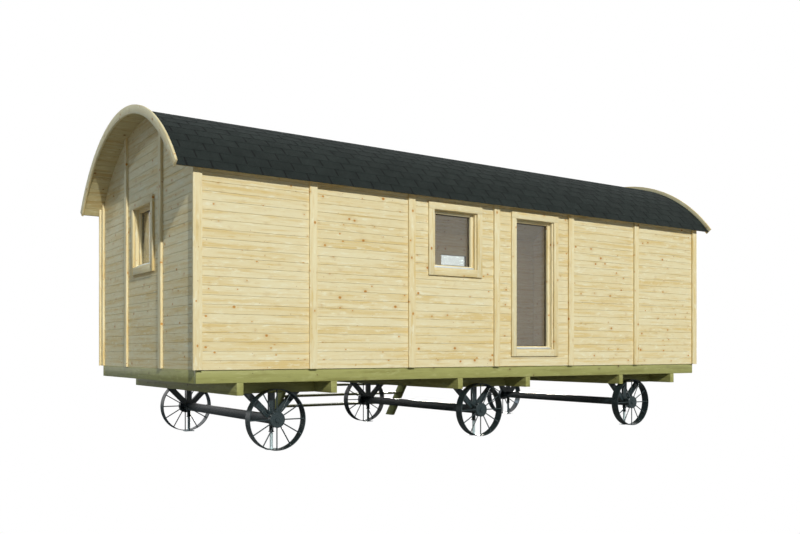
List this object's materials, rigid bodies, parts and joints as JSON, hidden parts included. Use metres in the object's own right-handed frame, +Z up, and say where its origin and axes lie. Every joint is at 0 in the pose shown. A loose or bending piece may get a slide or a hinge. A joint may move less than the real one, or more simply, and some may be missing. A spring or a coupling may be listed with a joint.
{
  "type": "timber caravan on iron wheels",
  "caption": "Horse-drawn style timber caravan: boarded cabin with a barrel roof, windows, rear stair and a green timber frame on iron spoked wheels with corner jacks.",
  "frame": {"origin": "on the ground below the middle of the whole outline, stair included", "axes": "+X along the length towards the hidden gable, -Y towards the windowed long side, +Z up"},
  "size_m": [7.694, 3.943, 3.5668],
  "materials": {
    "spruce": "satin",
    "deck_boards": "satin",
    "treated_timber": "satin",
    "stair_timber": "satin",
    "shingles": "matte, granular",
    "glass": "clear",
    "aluminium": "satin",
    "handle": "brushed",
    "galvanised": "dull zinc",
    "black_iron": "satin black"
  },
  "bodies": {
    "caravan": {"axle_beams": "black_iron", "axle_bearers": "treated_timber", "axle_brackets": "black_iron", "back_battens": "spruce", "back_wall_left": "spruce", "back_wall_over_door": "spruce", "back_wall_right": "spruce", "cross_beams": "treated_timber", "door_frame": "spruce", "door_handle": "handle", "door_panes": "glass", "end_beams": "treated_timber", "floor": "spruce", "floor_joists": "treated_timber", "front_battens": "spruce", "front_wall": "spruce", "jack_feet": "galvanised", "jack_tubes": "black_iron", "left_barge_board": "spruce", "left_door_leaf": "spruce", "left_gable": "spruce", "left_gable_battens": "spruce", "rain_rails": "aluminium", "right_barge_board": "spruce", "right_door_leaf": "spruce", "right_gable": "spruce", "right_gable_battens": "spruce", "roof_deck": "deck_boards", "roof_shingles": "shingles", "side_beams": "treated_timber", "stair_stringers": "stair_timber", "stair_treads": "stair_timber", "window_frames": "spruce", "window_panes": "glass", "window_sashes": "spruce"},
    "near_wheel_1": {"near_wheel_1_rim": "black_iron", "near_wheel_1_spokes": "black_iron"},
    "far_wheel_1": {"far_wheel_1_rim": "black_iron", "far_wheel_1_spokes": "black_iron"},
    "near_wheel_2": {"near_wheel_2_rim": "black_iron", "near_wheel_2_spokes": "black_iron"},
    "far_wheel_2": {"far_wheel_2_rim": "black_iron", "far_wheel_2_spokes": "black_iron"},
    "near_wheel_3": {"near_wheel_3_rim": "black_iron", "near_wheel_3_spokes": "black_iron"},
    "far_wheel_3": {"far_wheel_3_rim": "black_iron", "far_wheel_3_spokes": "black_iron"}
  },
  "joints": [
    {"name": "near_wheel_1_turn", "type": "hinge", "parent": "caravan", "child": "near_wheel_1", "pos_m": [-2.657, -1.5565, 0.312], "axis": [0, 1, 0], "continuous": true},
    {"name": "far_wheel_1_turn", "type": "hinge", "parent": "caravan", "child": "far_wheel_1", "pos_m": [-2.657, 1.0795, 0.312], "axis": [0, 1, 0], "continuous": true},
    {"name": "near_wheel_2_turn", "type": "hinge", "parent": "caravan", "child": "near_wheel_2", "pos_m": [0, -1.5565, 0.312], "axis": [0, 1, 0], "continuous": true},
    {"name": "far_wheel_2_turn", "type": "hinge", "parent": "caravan", "child": "far_wheel_2", "pos_m": [0, 1.0795, 0.312], "axis": [0, 1, 0], "continuous": true},
    {"name": "near_wheel_3_turn", "type": "hinge", "parent": "caravan", "child": "near_wheel_3", "pos_m": [2.657, -1.5565, 0.312], "axis": [0, 1, 0], "continuous": true},
    {"name": "far_wheel_3_turn", "type": "hinge", "parent": "caravan", "child": "far_wheel_3", "pos_m": [2.657, 1.0795, 0.312], "axis": [0, 1, 0], "continuous": true}
  ]
}
